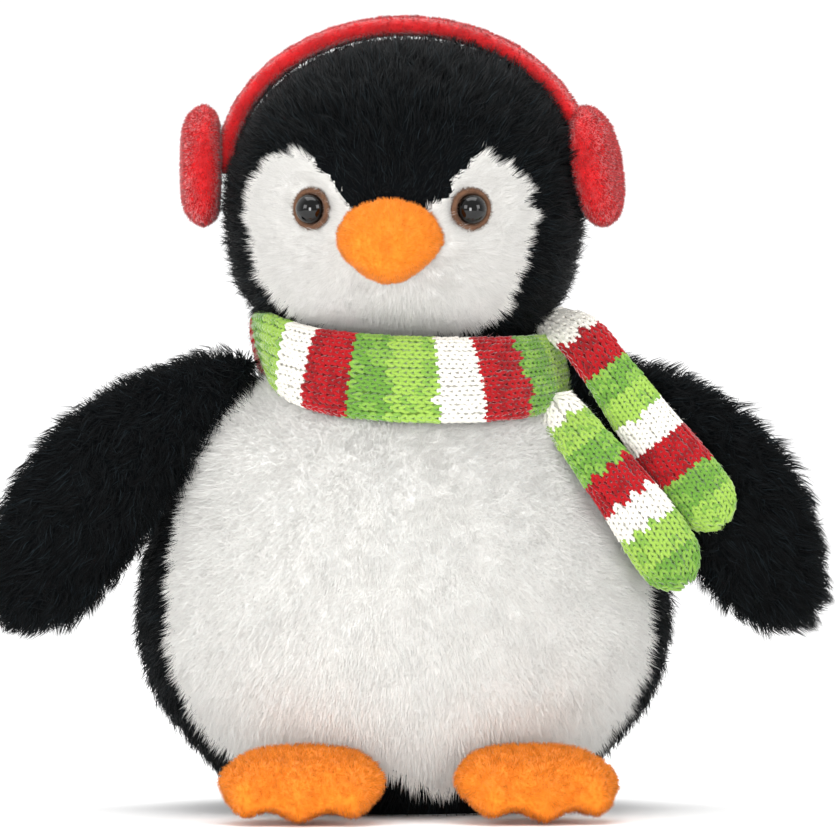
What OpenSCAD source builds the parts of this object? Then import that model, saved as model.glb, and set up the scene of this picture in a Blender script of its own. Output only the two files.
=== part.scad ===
// Plush penguin with earmuffs and a knitted scarf, as an assembly of sewn and stuffed pieces.
// Millimetres. +Z is up, the face looks along -Y, the origin is the middle of the seat on the floor.
// Left and right are the viewer's: left is -X and right is +X.

/* [Body] */
// Width of the body across its widest part
body_w = 120; // [100:1:140]
// Depth of the belly in front of the origin
belly_d = 50; // [42:1:58]
// Depth of the back behind the origin
back_d = 43; // [36:1:50]
// Height of the neck seam above the floor
body_h = 101; // [90:1:110]
// Thickness of the long-pile fabric, backing and pile together
pile_t = 5; // [3:0.5:6]
// Thickness of the seat panel
seat_t = 6; // [4:0.5:8]
// Half angle of the white belly panel, seen from above
belly_angle = 65; // [50:1:75]

/* [Head] */
// Half width of the head at the cheeks
head_a = 39.5; // [36:0.5:46]
// Depth of the face in front of the neck axis
head_front = 37; // [32:0.5:42]
// Depth of the back of the head behind the neck axis
head_back = 38; // [34:0.5:44]
// Height of the middle of the head above the floor
head_z = 139; // [130:1:150]
// Height of the crown above the middle of the head
crown_h = 36.5; // [32:0.5:40]
// Drop of the chin below the middle of the head
chin_h = 37; // [32:0.5:40]
// How far the head is turned at rest, negative towards the viewer's left
head_turn = -9; // [-15:0.5:15]

/* [Face] */
// Half the distance between the eyes
eye_x = 18.5; // [15:0.5:22]
// Diameter of an eye's dome
eye_d = 7; // [5:0.5:9]
// Diameter of the felt ring behind an eye
ring_d = 9.4; // [8:0.1:11]
// Width of the beak at its base
beak_w = 25; // [20:0.5:30]
// Height of the beak at its base
beak_h = 22; // [16:0.5:24]
// How far the beak stands out from the face
beak_l = 14; // [10:0.5:20]

/* [Wings and feet] */
// Length of a wing from its root to its tip
wing_l = 80; // [65:1:90]
// Thickness of a wing at its thickest
wing_t = 13; // [10:0.5:15]
// Width of a foot across its toes
foot_w = 39; // [32:1:44]
// Length of a foot from its heel seam to its middle toe
foot_l = 29; // [24:1:34]
// Thickness of a foot at its toes
foot_t = 11; // [8:0.5:13]
// Slope of a foot, heel up
foot_pitch = 22; // [10:1:24]

/* [Earmuffs] */
// Diameter of a cup
cup_d = 28; // [24:1:32]
// Thickness of a cup
cup_t = 8; // [7:0.5:10]
// Width of the head band, front to back
band_w = 11; // [8:1:14]
// Thickness of the head band
band_t = 2.4; // [2:0.1:3]

/* [Scarf] */
// Height of the knitted band where it crosses the chest
scarf_w = 18.5; // [15:0.5:20]
// Thickness of the knitted band
scarf_t = 5; // [4:0.5:6]
// Width of a hanging end
tail_w = 13; // [10:0.5:13]
// Thickness of a hanging end
tail_t = 6; // [5:0.5:6]
// Length of the end that hangs in front of the wing
upper_tail_l = 62; // [45:1:62]
// Length of the end that hangs from under the chest band
lower_tail_l = 52; // [40:1:52]

/* [Hidden] */
// Clearance between a cover and what it holds, and where the cover's facets cut across a tight curve
gap = 0.4;
loose_gap = 1.8;
// Middle of the head and of the neck ball, on the body's axis
head_c = [0, 0, head_z];
neck_c = [0, 0, head_z - chin_h + 2];
neck_r = 15;
// Height of the pellet bag's top
bag_top = 22;
bag_t = 0.8;
// Body outline: share of the height, then share of the half width, belly depth and back depth
side_shape = [
    [0, 0.48], [0.05, 0.6], [0.11, 0.72], [0.18, 0.83], [0.27, 0.94], [0.36, 0.99], [0.42, 1],
    [0.6, 0.96], [0.8, 0.77], [0.92, 0.57], [1, 0.43]
];
front_shape = [
    [0, 0.6], [0.06, 0.75], [0.12, 0.87], [0.2, 0.96], [0.4, 1],
    [0.6, 0.95], [0.8, 0.79], [0.92, 0.61], [1, 0.46]
];
rear_shape = [
    [0, 0.62], [0.06, 0.77], [0.12, 0.89], [0.2, 0.97], [0.4, 1],
    [0.6, 0.93], [0.8, 0.79], [0.92, 0.64], [1, 0.52]
];
// Share of the belly panel's half angle at each share of the height
belly_edge = [[0.06, 0.3], [0.08, 0.6], [0.11, 0.86], [0.15, 0.98], [0.35, 1.02], [0.6, 1], [1, 0.98]];
// Face outline: angle round the beak from the viewer's right, then polar angle from the beak
face_edge = [
    [-90, 60], [-47, 60], [-33, 55], [-19, 51], [-2, 49], [11, 48.5], [20, 46], [31, 42.5], [38, 39.5],
    [44, 36], [47, 30], [49, 22], [53, 17], [66, 15], [90, 14.5], [115, 15], [127, 17], [131, 22],
    [133, 30], [136, 36], [140, 41], [146, 45], [156, 49], [165, 52], [173, 54], [184, 54], [196, 55],
    [210, 58], [230, 60], [270, 60]
];
face_tilt = 14;
// Wing pattern for a wing 80 long, measured outwards and downwards from the root:
// share of the length, upper edge, lower edge, how far forward, share of the thickness
wing_pattern = [
    [0, 0, 0, 6.5, 14, -9, 0.6], [0.15, 10, -1.5, 11.5, 20, -11, 0.85],
    [0.3, 22, 0.5, 16.5, 27.5, -13, 1], [0.45, 32, 5.5, 21.5, 36, -14.5, 1],
    [0.6, 42, 13.5, 27, 44, -14.5, 1], [0.75, 50, 24, 34, 52.5, -13.5, 0.95],
    [0.88, 55.5, 34.5, 41.5, 58.5, -12, 0.9], [1, 59, 46, 50, 63, -11, 0.85]
];
wing_root = [38.6, 0, 100];
wing_cover_t = 3;
// Thickness of the short-pile fabric of the beak, the feet and the earmuffs
short_pile_t = 1.6;
foot_shape = [[0, 0.62], [0.35, 0.85], [0.75, 1], [1, 0.98]];
left_foot_x = -25.5;
right_foot_x = 24.6;
foot_splay = 7;
heel_y = -45;
heel_z = 14;
collar_x = 30;
collar_y = 29.5;
wrap_bulge = 1.2;
// Middle line of each hanging end: share of the length, then x, y, z
tail_side = [0.79, 0, 0.61];
upper_tail_path = [
    [0, 36, -13, 113], [0.12, 40, -21, 107], [0.25, 45, -26.5, 100],
    [0.5, 53.5, -28.5, 88.3], [0.75, 63, -28.5, 76], [1, 72, -27, 64]
];
lower_tail_path = [
    [0, 31, -32, 91.5], [0.25, 38.5, -34.5, 84], [0.5, 45.5, -35, 74.5],
    [0.75, 54, -33, 62.5], [1, 62, -30, 50]
];

// ---------- curves ----------

// Smooth value at x through a table whose rows start with x; the value is in column k
function stretch(tb, x, i = 0) = i >= len(tb) - 2 || x < tb[i + 1][0] ? i : stretch(tb, x, i + 1);
function slope(tb, i, k) =
    let (a = max(i - 1, 0), b = min(i + 1, len(tb) - 1))
    (tb[b][k] - tb[a][k]) / (tb[b][0] - tb[a][0]);
function smooth(tb, x, k = 1) =
    let (
        i = stretch(tb, x),
        h = tb[i + 1][0] - tb[i][0],
        u = min(max((x - tb[i][0]) / h, 0), 1),
        m0 = slope(tb, i, k) * h,
        m1 = slope(tb, i + 1, k) * h
    )
    tb[i][k] * (1 + 2 * u) * (1 - u) * (1 - u) + m0 * u * (1 - u) * (1 - u)
    + tb[i + 1][k] * u * u * (3 - 2 * u) + m1 * u * u * (u - 1);
// Shrinks to 0 along a quarter oval from u0 to 1; a higher n gives a blunter end
function round_end(u, u0, n = 2) = u <= u0 ? 1 : pow(max(0, 1 - pow((u - u0) / (1 - u0), n)), 1 / n);
function power(v, n) = pow(abs(v), n);

// ---------- meshes from rings of points ----------

function flat(rows) = [for (row = rows) for (p = row) p];
// Two triangles for each cell between rows of n points, closed round the row where wrap is true
function cells(rows, n, base, wrap, flip) = [
    for (i = [0 : rows - 2], j = [0 : (wrap ? n - 1 : n - 2)])
        let (
            a = base + i * n + j, b = base + i * n + (j + 1) % n,
            c = a + n, d = b + n
        )
        each flip ? [[a, c, d], [a, d, b]] : [[a, d, c], [a, b, d]]
];
function cap(n, base, flip) = [[for (j = [0 : n - 1]) base + (flip ? n - 1 - j : j)]];

// Solid through closed rings
module loft(rings) {
    n = len(rings[0]);
    m = len(rings);
    polyhedron(
        flat(rings),
        concat(cells(m, n, 0, true, false), cap(n, 0, true), cap(n, (m - 1) * n, false))
    );
}

// Cover between outer and inner rings, open at the first ring and closed at the last
module cover(outer, inner) {
    n = len(outer[0]);
    m = len(outer);
    k = len(inner);
    polyhedron(
        concat(flat(outer), flat(inner)),
        concat(
            cells(m, n, 0, true, false), cap(n, (m - 1) * n, false),
            cells(k, n, m * n, true, true), cap(n, (m + k - 1) * n, true),
            [for (j = [0 : n - 1])
                let (a = j, b = (j + 1) % n, c = m * n + j, d = m * n + (j + 1) % n)
                each [[a, c, d], [a, d, b]]]
        )
    );
}

// Sheet with thickness between two open grids of the same size
module panel(outer, inner) {
    n = len(outer[0]);
    m = len(outer);
    o = m * n;
    polyhedron(
        concat(flat(outer), flat(inner)),
        concat(
            cells(m, n, 0, false, false),
            cells(m, n, o, false, true),
            [for (j = [0 : n - 2])
                each [[j, o + j, o + j + 1], [j, o + j + 1, j + 1]]],
            [for (j = [0 : n - 2])
                let (a = (m - 1) * n + j)
                each [[a, o + a + 1, o + a], [a, a + 1, o + a + 1]]],
            [for (i = [0 : m - 2])
                let (a = i * n, b = a + n)
                each [[a, b, o + b], [a, o + b, o + a]]],
            [for (i = [0 : m - 2])
                let (a = i * n + n - 1, b = a + n)
                each [[a, o + b, b], [a, o + a, o + b]]]
        )
    );
}

// Evaluates booleans between sewn shapes as one mesh
module as_mesh() {
    resize([0, 0, 0]) children();
}

module mirrored(side) {
    mirror([side < 0 ? 1 : 0, 0, 0]) children();
}

// ---------- body ----------

// Point on the body at height z, angle a from the front towards +X, sunk by inset
function body_point(z, a, inset) =
    let (
        u = z / body_h,
        w = smooth(side_shape, u) * body_w / 2 - inset,
        d = cos(a) > 0 ? smooth(front_shape, u) * belly_d : smooth(rear_shape, u) * back_d
    )
    [w * sin(a), -(d - inset) * cos(a), z];
function belly_half(z) = smooth(belly_edge, z / body_h) * belly_angle;
function body_rows(z0, z1, n) = [for (i = [0 : n]) z0 + (z1 - z0) * (1 - pow(1 - i / n, 1.3))];
// Rows of a cover are closest at the bottom, where its edge sweeps round quickest
function cover_rows() = [for (i = [0 : 18]) side_z0 + (body_h - side_z0) * pow(i / 18, 1.3)];
function body_ring(z, inset, n = 36) = [for (j = [0 : n - 1]) body_point(z, -j * 360 / n, inset)];
side_z0 = seat_t + gap;

module belly_panel() {
    cols = 16;
    function grid(inset) = [
        for (z = cover_rows())
            [for (j = [0 : cols]) body_point(z, (belly_half(z) - 0.4) * (1 - 2 * j / cols), inset)]
    ];
    color("white") panel(grid(0), grid(pile_t));
}

module back_shell() {
    cols = 26;
    function grid(inset) = [
        for (z = cover_rows())
            let (edge = belly_half(z) + 0.4)
            [for (j = [0 : cols]) body_point(z, -edge - (360 - 2 * edge) * j / cols, inset)]
    ];
    color("black") panel(grid(0), grid(pile_t));
}

module seat_panel() {
    color("black")
        linear_extrude(seat_t)
            polygon([for (p = body_ring(seat_t / 2, 0, 48)) [p.x, p.y]]);
}

module body_filling() {
    inset = pile_t + gap;
    color("ivory")
        loft([for (z = body_rows(bag_top + gap, body_h - 1, 9)) body_ring(z, inset)]);
}

module pellet_bag() {
    layers = 4;
    function edge(i) = i == layers ? 6 : i == 0 ? 3 : 0;
    function rings(wall) = [
        for (i = [0 : layers])
            body_ring(
                side_z0 + wall + (bag_top - side_z0 - 2 * wall) * i / layers,
                pile_t + loose_gap + wall + edge(i)
            )
    ];
    // The filling slot is left open at the top, as it is before the bag is sewn shut
    color("beige")
        as_mesh()
            difference() {
                loft(rings(0));
                loft(rings(bag_t));
                translate([-6, -1, bag_top - 4]) cube([12, 2, 8]);
            }
}

// Short plastic pellets in rows and layers inside the bag
module pellets() {
    r = 2;
    pitch = 7.5;
    color("lightgrey")
        for (layer = [0 : 1], i = [-4 : 4], j = [-3 : 3])
            let (
                x = (i + (j % 2) / 2) * pitch,
                y = j * pitch * 0.87,
                tilt = (i * 37 + j * 53 + layer * 71) % 90
            )
            if (norm([x / 33, y / 25]) < 1)
                translate([x, y, side_z0 + 4.5 + layer * 6.5])
                    rotate([tilt, tilt / 2, 0])
                        cylinder(h = 3, r = r, center = true, $fn = 24);
}

// Ladder stitches that close the stuffing opening in the middle of the back
module closing_stitches() {
    color("dimgray")
        for (i = [0 : 9])
            let (z = 34 + i * 4)
            translate(body_point(z, 180, -0.5))
                rotate([0, 90, 0])
                    cylinder(h = 5, r = 0.35, center = true, $fn = 16);
}

module neck_plug() {
    color("ivory")
        difference() {
            translate(neck_c) sphere(neck_r, $fn = 64);
            translate([-20, -20, body_h - 21 + gap]) cube([40, 40, 21 - 1 + gap]);
        }
}

// ---------- head ----------

module head_frame() {
    rotate([0, 0, head_turn]) children();
}

// Point on the head in direction d from its middle, sunk by inset
function head_point(d, inset) =
    let (
        v = d / norm(d),
        b = v.y < 0 ? head_front : head_back,
        c = v.z > 0 ? crown_h : chin_h,
        n = v.z > 0 ? 2.1 : 2.1 + 0.4 * min(1, -2 * v.z),
        r = pow(power(v.x / head_a, n) + pow(norm([v.y / b, v.z / c]), n), -1 / n)
    )
    head_c + v * (r - inset);
// Direction at polar angle p from the beak and angle a round it
function face_dir(p, a) =
    let (x = sin(p) * cos(a), y = -cos(p), z = sin(p) * sin(a))
    [x, y * cos(face_tilt) + z * sin(face_tilt), z * cos(face_tilt) + y * sin(face_tilt)];
function edge_angle(a) = smooth(face_edge, a > 270 ? a - 360 : a);
function face_ring(share, inset, shift = 0, n = 96) = [
    for (j = [0 : n - 1])
        let (a = -j * 360 / n + 270)
        head_point(face_dir((edge_angle(a) + shift) * share, a), inset)
];
function rear_ring(share, inset, n = 96) = [
    for (j = [0 : n - 1])
        let (a = j * 360 / n - 90, e = edge_angle(a) + 0.5)
        head_point(face_dir(e + (174 - e) * share, a), inset)
];
eye_dir = [eye_x, -33.2, -1.2];
eye_azimuth = 27;
eye_sink = 1.4;

// Local +Z points out of the face at an eye, with 0 at the felt ring's back
module at_eye(side) {
    mirrored(side)
        translate(head_point(eye_dir, 0))
            rotate([0, 0, eye_azimuth])
                rotate([90, 0, 0])
                    translate([0, 0, -eye_sink])
                        children();
}

module head_shell() {
    outer = [for (i = [0 : 11]) rear_ring(i / 11, 0)];
    inner = [for (i = [0 : 11]) rear_ring(i / 11, pile_t)];
    color("black")
        head_frame()
            as_mesh()
                difference() {
                    cover(outer, inner);
                    translate(neck_c) sphere(neck_r + 1.5, $fn = 48);
                }
}

module face_panel() {
    shares = [1, 0.85, 0.7, 0.55, 0.38, 0.2, 0.07];
    function rings(inset) = [for (s = shares) face_ring(s, inset, -0.5)];
    color("white")
        head_frame()
            as_mesh()
                difference() {
                    cover(rings(0), rings(pile_t));
                    for (side = [-1, 1])
                        at_eye(side) {
                            cylinder(h = 12, r = ring_d / 2 + 0.3, $fn = 32);
                            translate([0, 0, -12]) cylinder(h = 13, r = 1.9, $fn = 24);
                        }
                }
}

module head_filling() {
    inset = pile_t + loose_gap;
    color("ivory")
        head_frame()
            as_mesh()
                difference() {
                    loft([
                        for (i = [0 : 12])
                            [for (j = [0 : 35])
                                head_point(face_dir(5 + 170 * i / 12, -90 + j * 10), inset)]
                    ]);
                    translate(neck_c) sphere(neck_r + 0.5, $fn = 48);
                    for (side = [-1, 1])
                        at_eye(side) translate([0, 0, -14]) cylinder(h = 14, r = 5.8, $fn = 32);
                }
}

// Dome and shank of one eye
module eye(side) {
    dome = eye_d / 2;
    color("black")
        head_frame()
            at_eye(side) {
                intersection() {
                    translate([0, 0, 0.9]) sphere(dome, $fn = 48);
                    translate([0, 0, 0.9]) cylinder(h = dome, r = dome + 1, $fn = 48);
                }
                translate([0, 0, -10]) cylinder(h = 11.2, r = 1.6, $fn = 32);
            }
}

// Felt ring between the eye and the face
module eye_ring(side) {
    color("saddlebrown")
        head_frame()
            at_eye(side)
                difference() {
                    translate([0, 0, 0.05]) cylinder(h = 0.8, r = ring_d / 2, $fn = 48);
                    translate([0, 0, -1]) cylinder(h = 3, r = 1.65, $fn = 32);
                }
}

// Lock washer on the shank, inside the head
module eye_washer(side) {
    color("gainsboro")
        head_frame()
            at_eye(side)
                difference() {
                    translate([0, 0, -5.6]) cylinder(h = 1.2, r = 5, $fn = 48);
                    translate([0, 0, -7]) cylinder(h = 4, r = 1.63, $fn = 32);
                }
}

// Ring of the beak at share s of its length, sunk by inset
function beak_ring(s, inset, n = 28) =
    let (
        middle = head_point(face_dir(0.01, 0), -0.3),
        tip = middle + beak_l * [0, -cos(face_tilt * 1.4), -sin(face_tilt * 1.4)],
        k = round_end(s, 0) * (1 - 0.12 * s)
    )
    [for (j = [0 : n - 1])
        let (
            a = 270 - j * 360 / n,
            narrow = 1 - 0.37 * max(0, -sin(a)),
            side = cos(a) * (beak_w / 2 - inset) * narrow,
            half = atan2(norm([side, sin(a) * (beak_h / 2 - inset)]), head_front),
            foot = head_point(face_dir(half, a), -0.3)
        )
        middle + (foot - middle) * k + (tip - middle) * s * (1 - inset / beak_l)];

module beak_cover() {
    steps = [0, 0.18, 0.36, 0.54, 0.7, 0.84, 0.94, 0.99];
    color("darkorange")
        head_frame()
            cover([for (s = steps) beak_ring(s, 0)], [for (s = steps) beak_ring(s, short_pile_t)]);
}

module beak_filling() {
    steps = [0.12, 0.24, 0.36, 0.54, 0.7, 0.84, 0.94, 0.99];
    color("ivory")
        head_frame()
            as_mesh()
                loft([for (s = steps) beak_ring(s, short_pile_t + 2 * gap, 20)]);
}

// ---------- earmuffs ----------

cup_toe = 8;
// The band passes between the head and the front edges of the cups, which are turned forwards
cup_x = head_a + gap + band_t + 0.2 + band_w / 2 * sin(cup_toe);
cup_y = 3;
cup_z = head_z + 8;

// Local +Z points away from the head at a cup, with 0 at its inner face
module at_cup(side) {
    head_frame()
        mirrored(side)
            translate([cup_x, cup_y, cup_z])
                rotate([0, 0, -cup_toe])
                    rotate([0, 90, 0])
                        children();
}

// Half section of a cup sunk by inset: flat inside face, domed outside face above a straight edge
cup_edge = 2.4;
function cup_profile(inset) =
    let (r = cup_d / 2 - inset, t = cup_t - inset)
    concat(
        [[0, inset], [r - 2.5, inset]],
        [for (a = [0 : 15 : 90])
            [r * (0.5 + 0.5 * cos(a)), inset + cup_edge + (t - inset - cup_edge) * sin(a)]],
        [[0, t]]
    );

module earmuff_cup(side) {
    color("crimson")
        at_cup(side)
            difference() {
                rotate_extrude($fn = 64) polygon(cup_profile(0));
                rotate_extrude($fn = 64) polygon(cup_profile(short_pile_t));
                translate([0, 0, -1]) cylinder(h = 4, r = 5, $fn = 48);
            }
}

module earmuff_filling(side) {
    color("ivory")
        at_cup(side)
            rotate_extrude($fn = 64) polygon(cup_profile(short_pile_t + gap));
}

// Ring of the band's section at angle a from straight up, in the head's own frame
band_a = head_a + gap + band_t / 2;
band_c = head_z + crown_h + 2.5 + band_t / 2 - cup_z;
function band_point(a) =
    let (r = 1 / norm([sin(a) / band_a, cos(a) / band_c]))
    [r * sin(a), cup_y, cup_z + r * cos(a)];
function band_ring(a) =
    let (
        p = band_point(a),
        q = band_point(a + 0.5) - band_point(a - 0.5),
        t = q / norm(q),
        o = [-t.z, 0, t.x]
    )
    [for (k = [0 : 11])
        let (c = cos(k * 30), s = sin(k * 30))
        p + o * (band_t / 2) * sign(c) * pow(abs(c), 0.7) + [0, band_w / 2, 0] * sign(s) * pow(abs(s), 0.7)];

module earmuff_band() {
    reach = 91;
    steps = 36;
    color("crimson")
        head_frame()
            loft([for (i = [0 : steps]) band_ring(-reach + 2 * reach * i / steps)]);
}

// ---------- wings ----------

// Ring of a wing at share u of its length, sunk by inset, for the viewer's right side
function wing_ring(u, inset, n = 22) =
    let (
        size = wing_l / 80,
        e = round_end(u, 0.7, 2.6),
        upper = [smooth(wing_pattern, u, 1), 0, -smooth(wing_pattern, u, 2)] * size,
        lower = [smooth(wing_pattern, u, 3), 0, -smooth(wing_pattern, u, 4)] * size,
        half = (upper - lower) / 2,
        w = norm(half) * e - inset,
        t = smooth(wing_pattern, u, 6) * wing_t / 2 * (0.35 + 0.65 * e) - inset,
        o = wing_root + (upper + lower) / 2 + [0, smooth(wing_pattern, u, 5), 0]
    )
    [for (j = [0 : n - 1])
        let (a = j * 360 / n)
        o + half / norm(half) * max(w, 0.4) * cos(a) + [0, max(t, 0.3) * sin(a), 0]];
wing_steps = [0, 0.08, 0.17, 0.27, 0.37, 0.47, 0.57, 0.66, 0.75, 0.83, 0.9, 0.95, 0.985, 1];

module wing(side) {
    inner_steps = [for (u = wing_steps) if (u < 0.98) u];
    color("black")
        mirrored(side)
            cover(
                [for (u = wing_steps) wing_ring(u, 0)],
                [for (u = inner_steps) wing_ring(u, wing_cover_t)]
            );
}

module wing_filling(side) {
    steps = [for (u = wing_steps) if (u > 0 && u < 0.96) u];
    color("ivory")
        mirrored(side)
            loft([for (u = steps) wing_ring(u, wing_cover_t + 2 * gap)]);
}

// ---------- feet ----------

// Distance of the toe line from the heel, with three round toes
function toe(x) = pow(cos(x * 270), 2);
function toe_reach(x) = foot_l * (0.8 + 0.2 * toe(x) - 0.16 * power(x, 3));
// Ring of a foot at share u from heel to toe: a flat oval across the foot
function foot_ring(u, inset, n = 40) =
    let (
        e = round_end(u, 0.55),
        w = smooth(foot_shape, u) * foot_w / 2 - inset,
        t = (foot_t / 2) * (0.5 + 0.5 * round_end(1 - u, 0.4)) * (0.25 + 0.75 * e) - inset
    )
    [for (j = [0 : n - 1])
        let (
            a = -j * 360 / n,
            x = sign(cos(a)) * pow(abs(cos(a)), 0.75),
            z = sign(sin(a)) * pow(abs(sin(a)), 0.8),
            across = x * (0.55 + 0.45 * e),
            groove = 1 - 0.3 * u * (1 - toe(across))
        )
        [across * w, -u * (toe_reach(across) - inset), z * max(t * groove, 0.3)]];
foot_steps = [0, 0.15, 0.3, 0.45, 0.58, 0.7, 0.8, 0.88, 0.94, 0.98, 1];

module at_foot(side) {
    translate([side < 0 ? left_foot_x : right_foot_x, heel_y, heel_z])
        rotate([foot_pitch, 0, side * foot_splay])
            children();
}

module foot(side) {
    inner_steps = [for (u = foot_steps) if (u < 0.97) u];
    color("darkorange")
        at_foot(side)
            as_mesh()
                cover(
                    [for (u = foot_steps) foot_ring(u, 0)],
                    [for (u = inner_steps) foot_ring(u, short_pile_t)]
                );
}

module foot_filling(side) {
    steps = [for (u = foot_steps) if (u > 0 && u < 0.95) u];
    color("ivory")
        at_foot(side)
            as_mesh()
                loft([for (u = steps) foot_ring(u, short_pile_t + 2 * gap)]);
}

// ---------- scarf ----------

// Heights of the band's top and bottom edges at angle a from the front towards +X
function wrap_top(a) = 109 - 1.5 * sin(a) - 1.5 * abs(cos(a));
function wrap_bottom(a) = wrap_top(a) - scarf_w * (0.7 + 0.3 * max(0, cos(a)));
// Ring of the neck band's section at angle a: its inside follows the body, then leans out to the collar
function wrap_ring(a) =
    let (
        top = wrap_top(a),
        low = body_point(wrap_bottom(a), a, -gap),
        high = [collar_x * sin(a), -collar_y * cos(a), top],
        up = (high - low) / norm(high - low),
        out = cross(up, [-cos(a), -sin(a), 0]),
        mid = (low + high) / 2,
        h = norm(high - low) / 2
    )
    [for (k = [0 : 11])
        let (c = cos(k * 30 + 15), s = sin(k * 30 + 15))
        mid + up * h * sign(s) * pow(abs(s), 0.6)
        + out * (scarf_t / 2 * (1 + sign(c) * pow(abs(c), 0.7)) + wrap_bulge)];

module scarf_wrap() {
    steps = 48;
    rings = [for (i = [0 : steps - 1]) wrap_ring(i * 360 / steps)];
    color("limegreen")
        polyhedron(
            flat(rings),
            concat(
                cells(steps, 12, 0, true, false),
                [for (j = [0 : 11])
                    let (next = (j + 1) % 12, a = (steps - 1) * 12 + j, b = (steps - 1) * 12 + next, c = j, d = next)
                    each [[a, d, c], [a, b, d]]]
            )
        );
}

// Ring of a hanging end at share u of its length; size scales the end about its root
function tail_ring(path, size, u, n = 16) =
    let (
        e = round_end(u, 0.85) * round_end(1 - u, 0.95),
        root = [path[0][1], path[0][2], path[0][3]],
        p = [smooth(path, u, 1), smooth(path, u, 2), smooth(path, u, 3)],
        o = root + (p - root) * size
    )
    [for (k = [0 : n - 1])
        o + tail_side * (tail_w / 2) * max(e, 0.3) * cos(k * 360 / n)
        + [0, 1, 0] * tail_t / 2 * max(e, 0.25) * sin(k * 360 / n)];
tail_steps = [0, 0.02, 0.06, 0.12, 0.2, 0.3, 0.45, 0.6, 0.75, 0.85, 0.91, 0.96, 0.99, 1];

module scarf_tail(path, size) {
    color("yellowgreen")
        loft([for (u = tail_steps) tail_ring(path, size, u)]);
}

// ---------- nodes ----------

back_shell();
belly_panel();
seat_panel();
body_filling();
pellet_bag();
pellets();
closing_stitches();
neck_plug();
head_shell();
face_panel();
head_filling();
beak_cover();
beak_filling();
eye(-1);  // left_eye
eye(1);  // right_eye
eye_ring(-1);  // left_eye_ring
eye_ring(1);  // right_eye_ring
eye_washer(-1);  // left_eye_washer
eye_washer(1);  // right_eye_washer
earmuff_band();
earmuff_cup(-1);  // left_earmuff_cup
earmuff_cup(1);  // right_earmuff_cup
earmuff_filling(-1);  // left_earmuff_filling
earmuff_filling(1);  // right_earmuff_filling
wing(-1);  // left_wing
wing(1);  // right_wing
wing_filling(-1);  // left_wing_filling
wing_filling(1);  // right_wing_filling
foot(-1);  // left_foot
foot(1);  // right_foot
foot_filling(-1);  // left_foot_filling
foot_filling(1);  // right_foot_filling
scarf_wrap();
scarf_tail(upper_tail_path, upper_tail_l / 62);  // scarf_upper_tail
scarf_tail(lower_tail_path, lower_tail_l / 52);  // scarf_lower_tail
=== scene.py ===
"""Plush penguin with earmuffs and a striped scarf, built round its fixed frame.

Each stuffed piece is a skin with its pile on it as loose fibres, and the scarf is knitted stitch by stitch.

All lengths are metres. +Z is up and the face looks along -Y. Left and right are the viewer's.
"""

import math

import bpy
import numpy as np
from mathutils import Matrix, Vector, kdtree
from mathutils.bvhtree import BVHTree


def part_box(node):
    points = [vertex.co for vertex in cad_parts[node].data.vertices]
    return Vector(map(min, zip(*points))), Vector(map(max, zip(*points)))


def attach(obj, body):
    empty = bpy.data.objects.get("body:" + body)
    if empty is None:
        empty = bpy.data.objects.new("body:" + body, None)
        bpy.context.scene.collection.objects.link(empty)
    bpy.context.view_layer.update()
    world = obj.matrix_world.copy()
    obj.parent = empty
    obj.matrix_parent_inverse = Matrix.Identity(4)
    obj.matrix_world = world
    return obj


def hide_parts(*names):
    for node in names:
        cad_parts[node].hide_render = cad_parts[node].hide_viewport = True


bl_info = {
    "name": "Plush penguin",
    "version": (1, 0, 0),
    "blender": (4, 5, 0),
    "location": "View3D > Sidebar > Penguin",
    "description": "Builds the looks of a plush penguin around its fixed frame",
    "category": "Object",
}

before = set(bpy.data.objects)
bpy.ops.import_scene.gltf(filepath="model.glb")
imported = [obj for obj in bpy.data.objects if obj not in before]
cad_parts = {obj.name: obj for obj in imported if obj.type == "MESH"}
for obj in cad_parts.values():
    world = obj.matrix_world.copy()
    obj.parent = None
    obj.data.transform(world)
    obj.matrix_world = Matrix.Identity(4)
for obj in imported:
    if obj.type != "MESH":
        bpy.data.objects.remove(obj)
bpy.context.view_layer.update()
MM = 0.001

# How far the head is turned, and the height of the middle of the earmuff cups
HEAD_TURN = math.radians(-9)
CUP_CENTRE_Z = 147 * MM
# The body's pile stops at this height, under the collar
NECK_Z = 98 * MM


# How far the white of the face spreads past its seam, and how far the black peak covers it again
WHITE_SPREAD = 1.1 * MM
PEAK_COVER = 4.2 * MM
EYE_REACH = 5.2 * MM
# Shades of the black fibres, and their finish, which hardly shines. The darker shades are the pile's own
# tone; the lightest are painted highlights, standing in for the grey glints on the pile.
BLACK_SHADES_AND_GLINTS = [0.5, 0.85, 1.4, 2.4]
BLACK_FIBRE = {"roughness": 0.5, "sheen": 0.02, "specular": 0.08}
BLACK_BACKING = {"sheen": 0.0, "specular": 0.05}
# Looks that the piles share: the long fibres of the black plush, its short ones, and cut nap
LONG_BLACK = {"soft": 0.45, "weights": [4, 6, 3, 1]}
SHORT_BLACK = {"ruffle": 0.8, "patch": 5 * MM, "bent": False, "soft": 0.45, "weights": [5, 6, 2, 0.5]}
NAP = {"lean": 35, "droop": 35, "patch": 2.5 * MM, "bent": False, "sink": 0.2 * MM}


# ---------- settings ----------


def colour_setting(name, description, value):
    """Colour property, as an sRGB hex code."""
    return bpy.props.StringProperty(name=name, description=description, default=value)


def length_setting(name, description, millimetres):
    """Length property."""
    return bpy.props.FloatProperty(
        name=name, description=description, default=millimetres * MM, unit="LENGTH", precision=5
    )


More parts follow.
